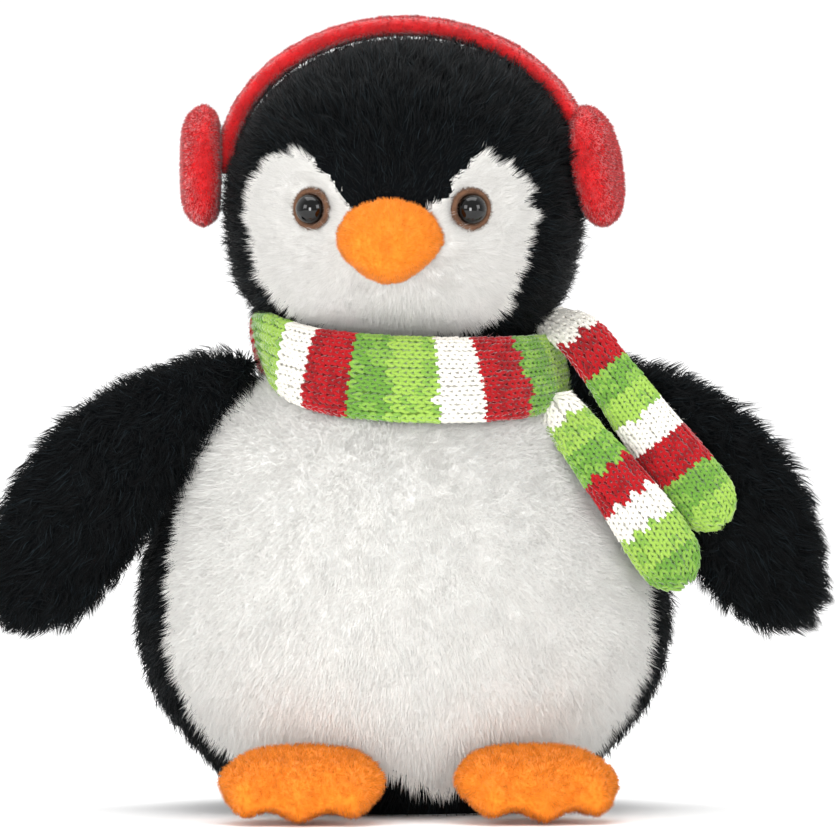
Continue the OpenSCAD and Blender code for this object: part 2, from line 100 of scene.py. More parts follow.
class PenguinPileSettings(bpy.types.PropertyGroup):
    """Colours and lengths of the long-pile and short-pile fabrics."""

    black: colour_setting("Black pile", "Colour of the black fabric", "#0B0E10")
    white: colour_setting("White pile", "Colour of the belly and the face", "#FCFAF5")
    orange: colour_setting("Orange pile", "Colour of the beak and the feet", "#F78A24")
    black_length: length_setting("Black length", "Length of the black pile", 6.0)
    white_length: length_setting("White length", "Length of the belly pile", 5.0)
    face_length: length_setting("Face length", "Length of the pile on the face", 4.2)
    orange_length: length_setting("Orange length", "Length of the pile on the beak and the feet", 1.5)
    thickness: bpy.props.FloatProperty(
        name="Thickness", description="Scale of the number of fibres", default=1.0, min=0.05, max=1.5
    )


class PenguinKnitSettings(bpy.types.PropertyGroup):
    """Yarn colours and stitch sizes of the scarf."""

    white: colour_setting("White yarn", "Colour of the white stripes", "#ECE9E0")
    red: colour_setting("Red yarn", "Colour of the red stripes", "#A90A15")
    lime: colour_setting("Lime yarn", "Colour of the light green stripes", "#98BD50")
    green: colour_setting("Green yarn", "Colour of the dark green stripes", "#68983A")
    wale: length_setting("Stitch width", "Width of one stitch", 2.15)


class PenguinTrimSettings(bpy.types.PropertyGroup):
    """Colours of the earmuffs, the eyes and the felt rings."""

    fleece: colour_setting("Fleece", "Colour of the earmuffs", "#C5141A")
    felt: colour_setting("Felt", "Colour of the rings behind the eyes", "#6E4E3A")
    eye: colour_setting("Eye", "Colour of the eye domes", "#050505")


# ---------- materials ----------


def linear(code):
    """Linear colour with alpha from an sRGB hex code."""
    parts = [int(code[i : i + 2], 16) / 255 for i in (1, 3, 5)]
    return [c / 12.92 if c <= 0.04045 else ((c + 0.055) / 1.055) ** 2.4 for c in parts] + [1.0]


def shade(code, factor):
    """Hex code of a colour made darker or lighter."""
    parts = [min(255, max(0, round(int(code[i : i + 2], 16) * factor))) for i in (1, 3, 5)]
    return "#%02X%02X%02X" % tuple(parts)


def add_node(tree, kind, settings=None, values=None, links=None):
    """Adds a shader node. links maps an input to (node, output)."""
    node = tree.nodes.new(kind)
    for key, value in (settings or {}).items():
        setattr(node, key, value)
    for key, value in (values or {}).items():
        node.inputs[key].default_value = value
    for key, (source, output) in (links or {}).items():
        tree.links.new(source.outputs[output], node.inputs[key])
    return node


def new_material(name):
    """Empty node material and its tree."""
    material = bpy.data.materials.new(name)
    material.use_nodes = True
    material.node_tree.nodes.clear()
    return material, material.node_tree


def finish_material(material, tree, shader):
    """Joins the shader to the material's output."""
    add_node(tree, "ShaderNodeOutputMaterial", links={"Surface": (shader, 0)})
    return material


def cloth_material(
    name, code, patch, weave, roughness=0.9, sheen=0.1, bump=0.3, contrast=0.25, specular=0.25
):
    """Fabric ground: colour in soft patches, fine grain in the bump. patch and weave are lengths."""
    material, tree = new_material(name)
    place = add_node(tree, "ShaderNodeTexCoord")
    patches = add_node(
        tree,
        "ShaderNodeTexNoise",
        values={"Scale": 1 / patch, "Detail": 4.0, "Roughness": 0.6},
        links={"Vector": (place, "Object")},
    )
    ramp = add_node(tree, "ShaderNodeValToRGB", links={"Fac": (patches, "Fac")})
    ramp.color_ramp.elements[0].position = 0.3
    ramp.color_ramp.elements[0].color = linear(shade(code, 1 - contrast))
    ramp.color_ramp.elements[1].position = 0.7
    ramp.color_ramp.elements[1].color = linear(shade(code, 1 + contrast * 0.5))
    grain = add_node(
        tree,
        "ShaderNodeTexNoise",
        values={"Scale": 1 / weave, "Detail": 3.0, "Roughness": 0.7},
        links={"Vector": (place, "Object")},
    )
    relief = add_node(
        tree,
        "ShaderNodeBump",
        values={"Strength": bump, "Distance": weave},
        links={"Height": (grain, "Fac")},
    )
    shader = add_node(
        tree,
        "ShaderNodeBsdfPrincipled",
        values={
            "Roughness": roughness,
            "Sheen Weight": sheen,
            "Sheen Roughness": 0.5,
            "Specular IOR Level": specular,
        },
        links={"Base Color": (ramp, "Color"), "Normal": (relief, "Normal")},
    )
    return finish_material(material, tree, shader)


def fibre_material(name, code, roughness=0.55, sheen=0.4, specular=0.4):
    """One shade of polyester fibre. Its pattern is in the fibres themselves, which take several shades."""
    material, tree = new_material(name)
    shader = add_node(
        tree,
        "ShaderNodeBsdfPrincipled",
        values={
            "Base Color": linear(code),
            "Roughness": roughness,
            "Sheen Weight": sheen,
            "Sheen Roughness": 0.4,
            "Specular IOR Level": specular,
        },
    )
    return finish_material(material, tree, shader)


def fibre_shades(name, code, factors, **finish):
    """Materials for the shades of one pile, darkest first."""
    return [fibre_material(f"{name}_{i}", shade(code, f), **finish) for i, f in enumerate(factors)]


def gloss_material(name, code):
    """Moulded black acrylic of a safety eye: polished, with a faint haze of handling."""
    material, tree = new_material(name)
    place = add_node(tree, "ShaderNodeTexCoord")
    haze = add_node(
        tree,
        "ShaderNodeTexNoise",
        values={"Scale": 900.0, "Detail": 2.0},
        links={"Vector": (place, "Object")},
    )
    rough = add_node(
        tree,
        "ShaderNodeMapRange",
        values={"From Min": 0.3, "From Max": 0.8, "To Min": 0.02, "To Max": 0.06},
        links={"Value": (haze, "Fac")},
    )
    shader = add_node(
        tree,
        "ShaderNodeBsdfPrincipled",
        values={"Base Color": linear(code), "Specular IOR Level": 0.45},
        links={"Roughness": (rough, "Result")},
    )
    return finish_material(material, tree, shader)


# ---------- meshes ----------


def pick(*objects):
    """Selects only these objects and makes the first one active."""
    bpy.ops.object.select_all(action="DESELECT")
    for piece in objects:
        piece.select_set(True)
    bpy.context.view_layer.objects.active = objects[0]


def object_from(name, vertices, faces, sizes, slots=None, materials=(), normals=None):
    """Mesh object from flat arrays. sizes gives each face's number of corners."""
    mesh = bpy.data.meshes.new(name)
    corners = np.asarray(faces, np.int32).ravel()
    sizes = np.asarray(sizes, np.int32)
    mesh.vertices.add(len(vertices))
    mesh.vertices.foreach_set("co", np.asarray(vertices, np.float32).ravel())
    mesh.loops.add(len(corners))
    mesh.loops.foreach_set("vertex_index", corners)
    mesh.polygons.add(len(sizes))
    mesh.polygons.foreach_set("loop_start", np.concatenate([[0], np.cumsum(sizes)[:-1]]).astype(np.int32))
    for material in materials:
        mesh.materials.append(material)
    if slots is not None:
        mesh.polygons.foreach_set("material_index", np.asarray(slots, np.int32))
    mesh.update(calc_edges=True)
    mesh.polygons.foreach_set("use_smooth", np.ones(len(sizes), bool))
    if normals is not None:
        mesh.normals_split_custom_set_from_vertices(np.asarray(normals, np.float32))
    mesh.update()
    piece = bpy.data.objects.new(name, mesh)
    bpy.context.collection.objects.link(piece)
    return piece


def joined_copy(name, nodes):
    """Merged copy of these frame pieces, as one mesh."""
    copies = []
    for node in nodes:
        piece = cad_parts[node].copy()
        piece.data = piece.data.copy()
        piece.parent = None
        piece.matrix_world = Matrix.Identity(4)
        for key in list(piece.keys()):
            del piece[key]
        bpy.context.collection.objects.link(piece)
        piece.hide_render = False
        piece.hide_viewport = False
        copies.append(piece)
    pick(*copies)
    if len(copies) > 1:
        bpy.ops.object.join()
    joined = bpy.context.view_layer.objects.active
    joined.name = name
    joined.data.name = name
    joined.data.materials.clear()
    bpy.ops.object.mode_set(mode="EDIT")
    bpy.ops.mesh.select_all(action="SELECT")
    bpy.ops.mesh.remove_doubles(threshold=1e-5)
    bpy.ops.object.mode_set(mode="OBJECT")
    return joined


def apply_modifier(piece, kind, **values):
    """Adds a modifier with these values and applies it."""
    modifier = piece.modifiers.new(kind.title(), kind)
    for key, value in values.items():
        setattr(modifier, key, value)
    bpy.ops.object.modifier_apply(modifier=modifier.name)


def gathered(name, nodes, voxel, follow=False):
    """One even closed mesh round these frame pieces. follow draws it into their hollows."""
    skin = joined_copy(name, nodes)
    bpy.ops.object.mode_set(mode="EDIT")
    bpy.ops.mesh.select_all(action="SELECT")
    bpy.ops.mesh.convex_hull()
    bpy.ops.object.mode_set(mode="OBJECT")
    apply_modifier(skin, "REMESH", mode="VOXEL", voxel_size=voxel)
    if follow:
        form = joined_copy(f"{name}_form", nodes[:1])
        pick(skin)
        apply_modifier(skin, "SHRINKWRAP", wrap_method="NEAREST_SURFACEPOINT", target=form)
        bpy.data.objects.remove(form)
        apply_modifier(skin, "REMESH", mode="VOXEL", voxel_size=voxel)
    return skin


def coordinates(piece):
    """Vertex positions of a piece."""
    points = np.empty(len(piece.data.vertices) * 3, np.float32)
    piece.data.vertices.foreach_get("co", points)
    return points.reshape(-1, 3).astype(float)


def move_points(skin, points):
    """Writes changed vertex positions back to a skin."""
    skin.data.vertices.foreach_set("co", points.astype(np.float32).ravel())
    skin.data.update()


def stuff(skin, cap, pressure=4.0):
    """Swells a closed skin with a short cloth simulation, by at most cap."""
    pick(skin)
    before = coordinates(skin)
    cloth = skin.modifiers.new("Stuffing", "CLOTH")
    cloth.settings.use_pressure = True
    cloth.settings.uniform_pressure_force = pressure
    cloth.settings.quality = 5
    cloth.settings.effector_weights.gravity = 0
    cloth.collision_settings.use_collision = False
    scene = bpy.context.scene
    for step in range(1, 21):
        scene.frame_set(step)
    bpy.ops.object.modifier_apply(modifier=cloth.name)
    scene.frame_set(1)
    moved = coordinates(skin) - before
    size = np.linalg.norm(moved, axis=1, keepdims=True)
    moved *= np.minimum(1, cap / np.maximum(size, 1e-9))
    move_points(skin, before + moved)
    return skin


def soften(skin, repeat=6, levels=1):
    """Evens the small steps of the remesh and rounds the mesh."""
    pick(skin)
    apply_modifier(skin, "SMOOTH", factor=0.5, iterations=repeat)
    if levels:
        apply_modifier(skin, "SUBSURF", levels=levels, render_levels=levels)
    bpy.ops.object.shade_smooth()
    return skin


def trees_of(*nodes):
    """A search tree for each frame piece's surface."""
    found = []
    for node in nodes:
        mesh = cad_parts[node].data
        corners = [v.co for v in mesh.vertices]
        found.append(BVHTree.FromPolygons(corners, [p.vertices for p in mesh.polygons]))
    return found


def nearest_of(trees, points):
    """Index of the nearest tree for each point, and how much nearer it is than the next."""
    table = np.array([[tree.find_nearest(Vector(p))[3] for tree in trees] for p in points])
    order = np.sort(table, axis=1)
    return table.argmin(axis=1), order[:, 1] - order[:, 0]


def join_body(piece, body, slot, *nodes):
    """Puts a finished piece on its body, in place of these frame pieces."""
    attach(piece, body)
    if nodes:
        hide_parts(*nodes)


def face_outwards(piece):
    """Turns every face of a closed piece outwards."""
    pick(piece)
    bpy.ops.object.mode_set(mode="EDIT")
    bpy.ops.mesh.select_all(action="SELECT")
    bpy.ops.mesh.normals_make_consistent(inside=False)
    bpy.ops.object.mode_set(mode="OBJECT")
    return piece


# ---------- pile ----------


def unit(vectors):
    """Vectors made one long."""
    return vectors / np.maximum(np.linalg.norm(vectors, axis=-1, keepdims=True), 1e-12)


def drift(points, scale, seed):
    """Smooth random vectors, about one turn for each length scale."""
    draw = np.random.default_rng(seed)
    result = np.zeros_like(points)
    for axis in range(3):
        for _ in range(5):
            wave = unit(draw.normal(size=3)) * draw.uniform(0.6, 1.5) * 2 * math.pi / scale
            result[:, axis] += np.sin(points @ wave + draw.uniform(0, 6.28)) * 0.45
    return result


class Roots:
    """Triangles of a skin from which fibres grow, with smooth normals."""

    def __init__(self, skin, keep=None):
        """Takes the triangles whose middles pass keep(points), or all of them."""
        mesh = skin.data
        mesh.calc_loop_triangles()
        corners = np.empty(len(mesh.loop_triangles) * 3, np.int32)
        mesh.loop_triangles.foreach_get("vertices", corners)
        self.corners = corners.reshape(-1, 3)
        self.points = coordinates(skin)
        normals = np.empty(len(mesh.vertices) * 3, np.float32)
        mesh.vertices.foreach_get("normal", normals)
        self.normals = normals.reshape(-1, 3).astype(float)
        self.middles = self.points[self.corners].mean(axis=1)
        if keep is not None:
            self.corners = self.corners[keep(self.middles)]
        a, b, c = (self.points[self.corners[:, i]] for i in range(3))
        self.areas = np.linalg.norm(np.cross(b - a, c - a), axis=1) / 2

    def draw(self, per_square_mm, generator):
        """Random root points and normals."""
        count = int(self.areas.sum() * 1e6 * per_square_mm)
        share = self.areas / self.areas.sum()
        faces = generator.choice(len(self.areas), size=count, p=share)
        u, v = generator.random((2, count))
        over = u + v > 1
        u[over], v[over] = 1 - u[over], 1 - v[over]
        weights = np.stack([1 - u - v, u, v], axis=1)[:, :, None]
        corners = self.corners[faces]
        points = (self.points[corners] * weights).sum(axis=1)
        return points, unit((self.normals[corners] * weights).sum(axis=1))


def across(directions, normals):
    """Part of each direction that lies along the surface, at unit length."""
    return unit(directions - (directions * normals).sum(axis=1, keepdims=True) * normals)


def tufted(ends, roots, size, pull, generator):
    """Draws the fibres' ends together in tufts: each moves part of the way to its tuft's own end."""
    count = max(8, int(len(roots) * min(1.0, size)))
    middles = generator.choice(len(roots), size=min(count, len(roots)), replace=False)
    tree = kdtree.KDTree(len(middles))
    for i, m in enumerate(middles):
        tree.insert(Vector(roots[m]), i)
    tree.balance()
    own = middles[[tree.find(Vector(p))[1] for p in roots]]
    together = roots[own] * 0.55 + roots * 0.45 + (ends[own] - roots[own])
    return ends + (together - ends) * pull


def pile(name, roots, materials, length, width, density, lay, seed, **look):
    """Closed tapering fibres on a skin.

    lay(points) gives the combing direction. look: lean and droop are angles from the surface normal at
    the root and the tip in degrees, ruffle is the share of random direction, patch the size over which
    it changes, bent fibres have a joint, weights are the shares of the materials, soft is the share of
    the skin's own normal, tuft is the share of fibres that lead a tuft, pull how far the others follow,
    and crop(points) scales the length.
    """
    lean = math.radians(look.get("lean", 30))
    droop = math.radians(look.get("droop", 60))
    ruffle = look.get("ruffle", 0.5)
    bent = look.get("bent", True)
    soft = look.get("soft", 0.6)
    weights = look.get("weights", [1 / len(materials)] * len(materials))
    settings = bpy.context.scene.penguin_pile
    generator = np.random.default_rng(seed)
    points, normals = roots.draw(density * settings.thickness, generator)
    count = len(points)
    combed = across(lay(points), normals)
    waves = drift(points, look.get("patch", 5 * MM), seed + 1)
    loose = generator.normal(size=(count, 3))
    flow = across(combed + waves * ruffle + loose * ruffle * 0.5, normals)
    size = length * generator.uniform(0.7, 1.1, count) * (1 + 0.12 * drift(points, 4 * MM, seed + 2)[:, 0])
    size = np.clip(size, 0.35 * length, 1.3 * length)
    if "crop" in look:
        size = size * look["crop"](points)
    size = size[:, None]
    spread = generator.normal(0, 0.2, (count, 1))
    first = unit(normals * np.cos(lean + spread) + flow * np.sin(lean + spread))
    second = unit(normals * np.cos(droop + spread) + flow * np.sin(droop + spread))
    start = points - normals * look.get("sink", 0.6 * MM)
    middle = start + first * size * 0.5
    tip = middle + second * size * 0.5
    if look.get("pull", 0) > 0:
        tip = tufted(tip, start, look.get("tuft", 0.05), look["pull"], generator)
        middle = middle * 0.75 + (start + tip) * 0.125
    side = unit(np.cross(tip - start, generator.normal(size=(count, 3))))
    other = np.cross(unit(tip - start), side)
    half = (width / 2) * generator.uniform(0.75, 1.25, (count, 1))
    turns = [0, 2 * math.pi / 3, 4 * math.pi / 3]
    around = [side * math.cos(t) + other * math.sin(t) for t in turns]
    rings = [[start + r * half for r in around]]
    if bent:
        rings.append([middle + r * half * 0.75 for r in around])
    block = np.stack([p for ring in rings for p in ring] + [tip], axis=1)
    facing = [unit(normals * soft + r * (1 - soft)) for r in around]
    facing = np.stack(facing * len(rings) + [unit(normals * soft + second * (1 - soft))], axis=1)
    last = block.shape[1] - 1
    pattern = [[2, 1, 0]]
    if bent:
        for i in range(3):
            j = (i + 1) % 3
            pattern += [[i, j, 3 + j], [i, 3 + j, 3 + i]]
    top = 3 if bent else 0
    pattern += [[top + i, top + (i + 1) % 3, last] for i in range(3)]
    faces = (np.arange(count) * (last + 1))[:, None, None] + np.array(pattern)[None]
    tint = np.cumsum(np.array(weights) / sum(weights))
    chosen = np.searchsorted(tint, np.clip(generator.random(count) + 0.06 * waves[:, 1], 0, 0.9999))
    return object_from(
        name,
        block.reshape(-1, 3),
        faces.reshape(-1, 3),
        np.full(count * len(pattern), 3),
        np.repeat(chosen, len(pattern)),
        materials,
        facing.reshape(-1, 3),
    )


def towards(x, y, z):
    """Combing in one direction."""
    def lay(points):
        """The same direction at every point."""
        return np.tile(np.array([x, y, z], float), (len(points), 1)) + 0.001
    return lay


def away_from(centre):
    """Combing away from a point."""
    centre = np.array(centre, float)

    def lay(points):
        """Unit directions from the centre."""
        return unit(points - centre)
    return lay


def turned(point):
    """A point or the rows of coordinates of many, turned by the head's turn."""
    x, y, z = point
    c, s = math.cos(HEAD_TURN), math.sin(HEAD_TURN)
    return np.array([x * c - y * s, x * s + y * c, z])


# ---------- body ----------


def raise_shoulders(skin):
    """Fills the body out at the shoulders, where the covers of the body and the wings are bunched."""
    points = coordinates(skin)
    lift = np.exp(-(((points[:, 2] - 90 * MM) / (13 * MM)) ** 2))
    reach = np.clip(np.abs(points[:, 0]) / (32 * MM), 0, 1)
    points[:, 0] += np.sign(points[:, 0]) * 6.5 * MM * lift * reach**2
    move_points(skin, points)


def build_body(settings):
    """Body skin with its white belly pile and black back pile."""
    skin = gathered("body_skin", ["back_shell", "belly_panel", "seat_panel", "body_filling"], 3.5 * MM)
    stuff(skin, 1.0 * MM)
    soften(skin)
    raise_shoulders(skin)
    black = cloth_material("black_backing", settings.black, 9 * MM, 0.7 * MM, **BLACK_BACKING)
    white = cloth_material("white_backing", settings.white, 9 * MM, 0.7 * MM, contrast=0.06)
    trees = trees_of("back_shell", "belly_panel", "seat_panel")
    mesh = skin.data
    mesh.materials.append(black)
    mesh.materials.append(white)

    def is_white(points):
        """White reaches further round near the shoulders, and ends in a blunt tip above the seat."""
        rise = np.clip((points[:, 2] - 50 * MM) / (30 * MM), 0, 1)[:, None]
        inner = points - rise * np.stack(
            [points[:, 0] * 0.2, np.full(len(points), 4.5 * MM), np.zeros(len(points))], axis=1
        )
        above_seat = points[:, 2] > 6 * MM + np.minimum(0.4 * np.abs(points[:, 0] - 6 * MM), 4.5 * MM)
        return (nearest_of(trees, inner)[0] == 1) & (above_seat | (np.abs(points[:, 0]) > 22 * MM))

    centres = np.array([p.center[:] for p in mesh.polygons])
    mesh.polygons.foreach_set("material_index", is_white(centres).astype(np.int32))
    join_body(skin, "torso", "black_plush", "seat_panel")

    def on_belly(points):
        """White pile, with a slightly wandering edge."""
        white = is_white(points + drift(points, 5 * MM, 40) * 0.8 * MM)
        return white & (points[:, 2] < NECK_Z)

    def on_back(points):
        """Black pile, from just above the floor up to the neck."""
        return ~on_belly(points) & (points[:, 2] > 3 * MM) & (points[:, 2] < NECK_Z)

    whites = fibre_shades(
        "white_fibre", settings.white, [0.97, 0.98, 1.0, 1.02], roughness=0.8, sheen=0.8
    )
    blacks = fibre_shades("black_fibre", settings.black, BLACK_SHADES_AND_GLINTS, **BLACK_FIBRE)
    belly = Roots(skin, on_belly)
    back = Roots(skin, on_back)
    down = towards(0, 0, -1)
    pieces = [
        pile("belly_pile", belly, whites, settings.white_length, 0.24 * MM, 3.2, down, 1,
             lean=38, droop=38, ruffle=0.16, patch=14 * MM, bent=False, soft=0.95, weights=[1, 3, 5, 4]),
        pile("belly_underpile", belly, whites, settings.white_length * 0.85, 0.3 * MM, 3.2, down, 2,
             lean=22, droop=22, ruffle=0.35, patch=8 * MM, bent=False, soft=0.95, weights=[1, 4, 5, 3]),
        pile("back_pile", back, blacks, settings.black_length, 0.3 * MM, 0.62, down, 3,
             lean=30, droop=72, ruffle=0.55, patch=7 * MM, tuft=0.08, pull=0.4, **LONG_BLACK),
        pile("back_underpile", back, blacks, settings.black_length * 0.75, 0.4 * MM, 1.45, down, 4,
             lean=45, droop=45, **SHORT_BLACK),
    ]
    for piece in pieces[:2]:
        join_body(piece, "torso", "white_plush", "belly_panel")
    for piece in pieces[2:]:
        join_body(piece, "torso", "black_plush", "back_shell")


# ---------- head ----------


def build_head(settings):
    """Head skin with its white face pile and black crown pile."""
    skin = gathered("head_skin", ["head_shell", "face_panel", "head_filling"], 2.6 * MM)
    stuff(skin, 0.6 * MM)
    soften(skin)
    dimpled(skin, 2.2 * MM, 9 * MM)
    black = cloth_material("black_head_backing", settings.black, 9 * MM, 0.7 * MM, **BLACK_BACKING)
    white = cloth_material("white_face_backing", settings.white, 9 * MM, 0.7 * MM, contrast=0.06)
    trees = trees_of("head_shell", "face_panel")
    mesh = skin.data
    mesh.materials.append(black)
    mesh.materials.append(white)
    join_body(skin, "head", "black_plush")
    eyes = [eye_place(side)[0] for side in (-1, 1)]

    def bare(points):
        """No pile grows under the eyes or where the head sits on the neck."""
        near = np.min([np.linalg.norm(points - e, axis=1) for e in eyes], axis=0)
        on_neck = (points[:, 2] < 112 * MM) & (np.hypot(points[:, 0], points[:, 1]) < 24 * MM)
        return (near < EYE_REACH) | on_neck

    peak = turned([1 * MM, -37 * MM, 140 * MM])

    def face_margin(points):
        """How far inside the white a point is."""
        shifted = points + drift(points, 5 * MM, 41) * 0.5 * MM
        nearest, lead = nearest_of(trees, shifted)
        by_peak = np.exp(-((np.linalg.norm(points - peak, axis=1) / (13 * MM)) ** 2))
        return np.where(nearest == 1, lead, -lead) + WHITE_SPREAD - PEAK_COVER * by_peak

    def on_face(points):
        """White pile."""
        return (face_margin(points) > 0) & ~bare(points)

    def on_crown(points):
        """Black pile."""
        return (face_margin(points) <= 0) & ~bare(points)

    def face_crop(points):
        """The white pile is shorter beside the black peak."""
        return 1 - 0.5 * np.exp(-((np.linalg.norm(points - peak, axis=1) / (14 * MM)) ** 2))

    def crown_crop(points):
        """The black pile is short round the face and under the head band, and long before the band."""
        near_face = np.clip(0.5 - face_margin(points) / (22 * MM), 0.5, 1)
        sideways, back, height = turned(points.T)
        upper = height > CUP_CENTRE_Z
        beside = np.clip((np.abs(back - 3 * MM) - 7 * MM) / (9 * MM), 0, 1)
        covered = np.clip((26 * MM - sideways) / (16 * MM), 0, 1) * upper
        before_band = (back < -4 * MM) & (back > -24 * MM) & upper
        under_band = 1 - covered * (1 - beside) * 0.28
        return near_face * under_band * np.where(before_band, 1.4 - 0.25 * covered, 1)

    centres = np.array([p.center[:] for p in mesh.polygons])
    mesh.polygons.foreach_set("material_index", (face_margin(centres) > 0).astype(np.int32))
    # The face's fibres are darker copies of the same white as the belly's: painted shade, keeping the face
    # dimmer than the belly under the same lamps.
    whites = fibre_shades(
        "face_fibre_painted_shade", settings.white, [0.89, 0.92, 0.94, 0.97], roughness=0.8, sheen=0.8
    )
    blacks = fibre_shades("crown_fibre", settings.black, BLACK_SHADES_AND_GLINTS, **BLACK_FIBRE)
    face = Roots(skin, on_face)
    crown = Roots(skin, on_crown)
    beak = turned([0, -40 * MM, 128 * MM])
    outward = away_from(beak)
    pieces = [
        pile("face_pile", face, whites, settings.face_length, 0.2 * MM, 9.0, outward, 11,
             lean=46, droop=46, ruffle=0.45, patch=6 * MM, bent=False, soft=0.92, weights=[1, 3, 5, 4],
             tuft=0.04, pull=0.3, crop=face_crop),
        pile("face_underpile", face, whites, settings.face_length * 0.75, 0.22 * MM, 8.0, outward, 12,
             lean=25, droop=25, ruffle=0.9, patch=4 * MM, bent=False, soft=0.92, weights=[2, 4, 4, 2],
             crop=face_crop),
        pile("crown_pile", crown, blacks, settings.black_length, 0.26 * MM, 1.12, outward, 13,
             lean=28, droop=70, ruffle=0.5, patch=6 * MM, tuft=0.08, pull=0.45, crop=crown_crop,
             **LONG_BLACK),
        pile("crown_underpile", crown, blacks, settings.black_length * 0.72, 0.32 * MM, 2.55, outward, 14,
             lean=42, droop=42, crop=crown_crop, **SHORT_BLACK),
    ]
    for piece in pieces[:2]:
        join_body(piece, "head", "white_plush", "face_panel")
    for piece in pieces[2:]:
        join_body(piece, "head", "black_plush", "head_shell")


# ---------- eyes ----------


def dimpled(skin, depth, reach):
    """Draws the skin in round each eye, as the eye's shank does."""
    points = coordinates(skin)
    for side in (-1, 1):
        middle, out = eye_place(side)
        away = np.linalg.norm(points - middle, axis=1)
        share = np.clip(1 - (away / reach) ** 2, 0, 1) ** 1.5
        points -= out * (depth * share)[:, None]
    move_points(skin, points)


def eye_place(side):
    """Middle of an eye's felt ring and the direction it looks in."""
    low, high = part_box("left_eye_ring" if side < 0 else "right_eye_ring")
    middle = (np.array(low) + np.array(high)) / 2
    angle = math.radians(27) * side + HEAD_TURN
    return middle, np.array([math.sin(angle), -math.cos(angle), 0])


def build_eyes(settings):
    """Polished eyes on fuzzy felt rings."""
    eye = gloss_material("black_acrylic", settings.eye)
    felt = cloth_material("brown_felt", settings.felt, 2 * MM, 0.25 * MM, bump=0.6, contrast=0.15)
    fibres = fibre_shades("felt_fibre", settings.felt, [0.8, 1.0, 1.15, 1.3], roughness=0.8, sheen=0.3)
    for side, word in ((-1, "left"), (1, "right")):
        for node, material in ((f"{word}_eye", eye), (f"{word}_eye_ring", felt)):
            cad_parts[node].data.materials.clear()
            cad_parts[node].data.materials.append(material)
        middle, out = eye_place(side)
        turn = Vector(out).to_track_quat("Z", "Y").to_matrix().to_4x4()
        bpy.ops.object.select_all(action="DESELECT")
        bpy.ops.mesh.primitive_torus_add(
            major_radius=4.15 * MM, minor_radius=0.62 * MM, major_segments=48, minor_segments=10
        )
        ring = bpy.context.active_object
        ring.name = f"{word}_felt_edge"
        ring.data.transform(Matrix.Translation(Vector(middle + out * 0.25 * MM)) @ turn)
        ring.data.materials.append(felt)
        bpy.ops.object.shade_smooth()
        join_body(ring, "head", "brown_felt")
        fuzz = pile(
            f"{word}_felt_fuzz", Roots(ring), fibres, 0.9 * MM, 0.12 * MM, 14, away_from(middle),
            50 + side, lean=30, droop=50, ruffle=0.8, patch=1.5 * MM, bent=False, soft=0.5, sink=0.1 * MM,
        )
        join_body(fuzz, "head", "brown_felt")


# ---------- beak and feet ----------


def build_orange(settings):
    """Stuffed beak and feet with their short nap."""
    ground = cloth_material(
        "orange_backing", settings.orange, 5 * MM, 0.4 * MM, sheen=0.1, contrast=0.12
    )
    shades = fibre_shades(
        "orange_fibre", settings.orange, [0.86, 0.95, 1.0, 1.06], roughness=0.7, sheen=0.08, specular=0.12
    )
    jobs = [
        ("beak", ["beak_cover", "beak_filling"], "head", 1.0 * MM, 11.0, 0.75),
        ("left_foot", ["left_foot", "left_foot_filling"], "left_foot_body", 1.1 * MM, 7.0, 1.0),
        ("right_foot", ["right_foot", "right_foot_filling"], "right_foot_body", 1.1 * MM, 7.0, 1.0),
    ]
    for seed, (word, nodes, body, voxel, density, scale) in enumerate(jobs):
        skin = gathered(f"{word}_skin", nodes, voxel, True)
        stuff(skin, 0.5 * MM)
        soften(skin, 5, 0)
        skin.data.materials.append(ground)
        join_body(skin, body, "orange_plush", nodes[0])
        lay = towards(0, -0.4, -1)
        if word == "beak":
            lay = away_from(coordinates(skin).mean(axis=0) + [0, -0.01, 0.006])
        nap = pile(
            f"{word}_nap", Roots(skin), shades, settings.orange_length * scale, 0.2 * MM, density,
            lay, 60 + seed, ruffle=0.8, soft=0.6, weights=[1, 3, 5, 3], **NAP,
        )
        join_body(nap, body, "orange_plush")


# ---------- wings ----------


def gather_root(skin, side):
    """Bunches the wing's inner end up and in, against the shoulder."""
    points = coordinates(skin)
    share = np.clip((56 * MM - np.abs(points[:, 0])) / (17 * MM), 0, 1)
    upper = np.clip((points[:, 2] - 90 * MM) / (14 * MM), 0, 1)
    points[:, 2] += 6 * MM * share * upper
    points[:, 0] -= side * 4 * MM * share
    move_points(skin, points)


def build_wings(settings):
    """Stuffed wings with their black pile."""
    ground = cloth_material("black_wing_backing", settings.black, 9 * MM, 0.7 * MM, **BLACK_BACKING)
    shades = fibre_shades("wing_fibre", settings.black, BLACK_SHADES_AND_GLINTS, **BLACK_FIBRE)
    for side, word in ((-1, "left"), (1, "right")):
        body = f"{word}_wing_body"
        skin = gathered(f"{word}_wing_skin", [f"{word}_wing", f"{word}_wing_filling"], 1.8 * MM, True)
        stuff(skin, 0.8 * MM)
        soften(skin, 5, 0)
        gather_root(skin, side)
        skin.data.materials.append(ground)
        join_body(skin, body, "black_plush", f"{word}_wing")
        outward = towards(side * 0.65, 0, -0.75)
        roots = Roots(skin)
        long = pile(
            f"{word}_wing_pile", roots, shades, settings.black_length * 1.15, 0.28 * MM, 1.9, outward,
            70 + side, lean=24, droop=62, ruffle=0.6, patch=6 * MM, tuft=0.04, pull=0.6, **LONG_BLACK,
        )
        short = pile(
            f"{word}_wing_underpile", roots, shades, settings.black_length * 0.72, 0.36 * MM, 3.6, outward,
            80 + side, lean=42, droop=42, **SHORT_BLACK,
        )
        join_body(long, body, "black_plush")
        join_body(short, body, "black_plush")


# ---------- earmuffs ----------


def lean_in(skin):
    """Presses the right cup into the pile, further at its top."""
    points = coordinates(skin)
    low, high = points.min(axis=0), points.max(axis=0)
    rise = (points[:, 2] - low[2]) / (high[2] - low[2])
    points[:, 0] -= (0.8 + 4.0 * rise) * MM
    move_points(skin, points)


